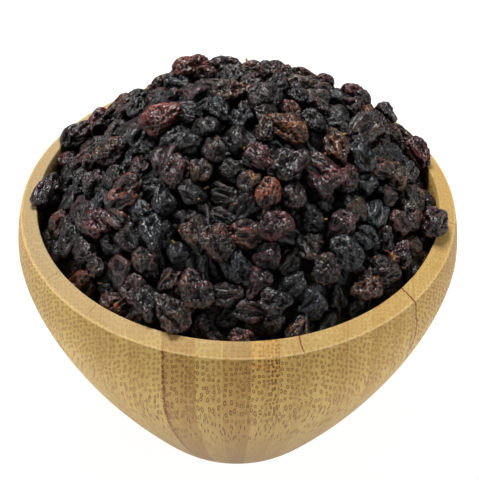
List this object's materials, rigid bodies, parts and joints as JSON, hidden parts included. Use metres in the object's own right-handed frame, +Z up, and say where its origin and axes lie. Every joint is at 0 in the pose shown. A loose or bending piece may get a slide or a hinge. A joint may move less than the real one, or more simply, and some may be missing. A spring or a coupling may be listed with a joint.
{
  "type": "bowl of zante currants",
  "caption": "Small turned bamboo bowl with a sloping rim and narrow flat foot, heaped above the rim with wrinkled dark zante currants.",
  "frame": {"origin": "middle of the bowl's flat foot, on the surface that it stands on", "axes": "+Z up along the bowl's turning axis; +X to the right in the picture, square to the glue lines of the bamboo strips; +Y away from the viewer"},
  "size_m": [0.11, 0.11, 0.1035],
  "materials": {
    "bamboo": "turned and oiled glued bamboo, satin",
    "currant_skin": "dried grape skin, wrinkled, blue-black to red-brown, dull with a faint grey sheen"
  },
  "bodies": {
    "root": {"bowl": "bamboo", "currant_heap": "currant_skin"}
  },
  "joints": []
}
